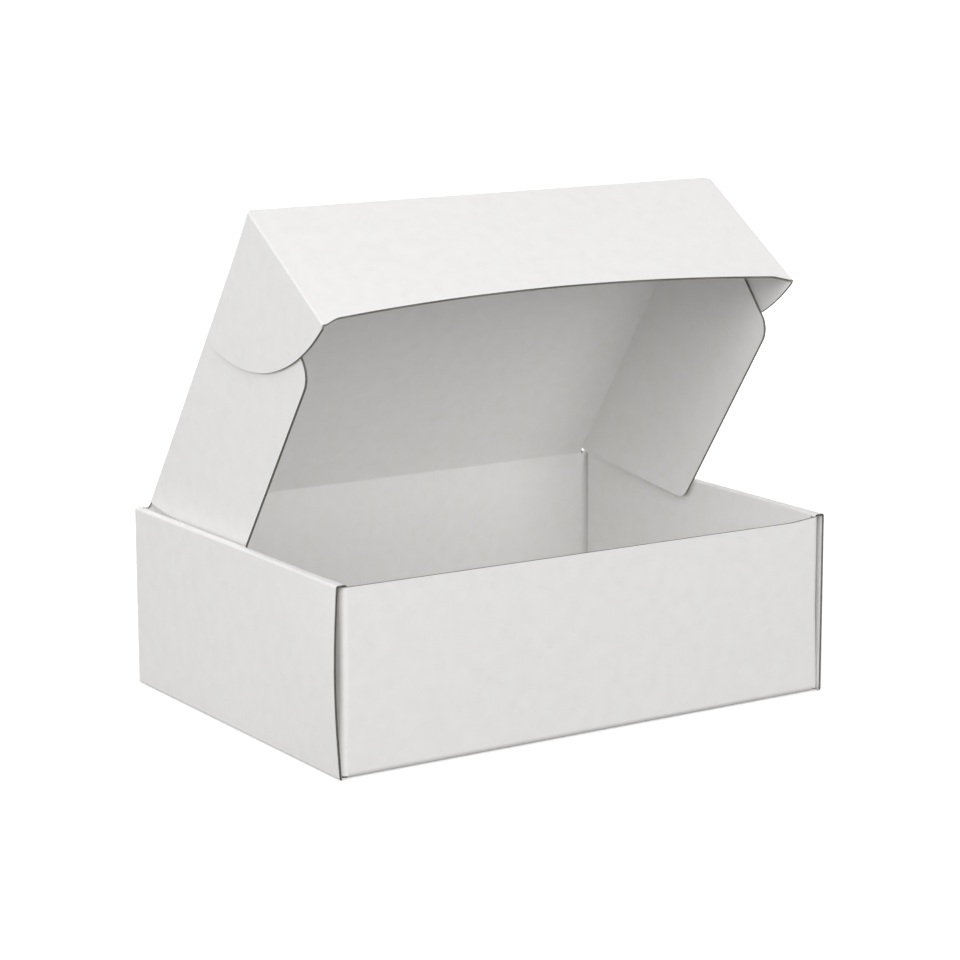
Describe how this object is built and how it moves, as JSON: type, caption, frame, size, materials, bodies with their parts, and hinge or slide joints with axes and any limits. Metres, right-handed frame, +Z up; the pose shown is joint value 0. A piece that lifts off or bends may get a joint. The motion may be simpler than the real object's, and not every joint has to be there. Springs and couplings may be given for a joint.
{
  "type": "corrugated mailer box",
  "caption": "Plain white folded corrugated mailer box, its hinged lid half open, with lid side flaps, a front tuck flap and rounded ears.",
  "frame": {"origin": "centre of the base's underside", "axes": "+X along the long front wall to the right as seen from the front, -Y out of the front wall, +Z up"},
  "size_m": [0.3146, 0.228, 0.2827],
  "materials": {
    "board": "matt white-lined corrugated board"
  },
  "bodies": {
    "tray": {"tray": "board"},
    "lid": {"lid_panel": "board"},
    "side_flap_left": {"lid_side_flap_left": "board"},
    "side_flap_right": {"lid_side_flap_right": "board"},
    "front_flap": {"lid_front_flap": "board"},
    "ear_left": {"lid_ear_left": "board"},
    "ear_right": {"lid_ear_right": "board"}
  },
  "joints": [
    {"name": "lid_hinge", "type": "hinge", "parent": "tray", "child": "lid", "pos_m": [0, 0.11325, 0.10175], "axis": [-1, 0, 0], "range_deg": [-28, 125]},
    {"name": "side_flap_left_fold", "type": "hinge", "parent": "lid", "child": "side_flap_left", "pos_m": [-0.1475, 0.11264, 0.10132], "axis": [0, -0.5736, 0.8192], "range_deg": [0, 75]},
    {"name": "side_flap_right_fold", "type": "hinge", "parent": "lid", "child": "side_flap_right", "pos_m": [0.1475, 0.11264, 0.10132], "axis": [0, 0.5736, -0.8192], "range_deg": [0, 75]},
    {"name": "front_flap_fold", "type": "hinge", "parent": "lid", "child": "front_flap", "pos_m": [0, -0.01294, 0.28196], "axis": [-1, 0, 0], "range_deg": [-18, 89]},
    {"name": "ear_left_fold", "type": "hinge", "parent": "front_flap", "child": "ear_left", "pos_m": [-0.15005, -0.01294, 0.28196], "axis": [0, 0.8387, 0.5446], "range_deg": [0, 90]},
    {"name": "ear_right_fold", "type": "hinge", "parent": "front_flap", "child": "ear_right", "pos_m": [0.15005, -0.01294, 0.28196], "axis": [0, -0.8387, -0.5446], "range_deg": [0, 90]}
  ]
}
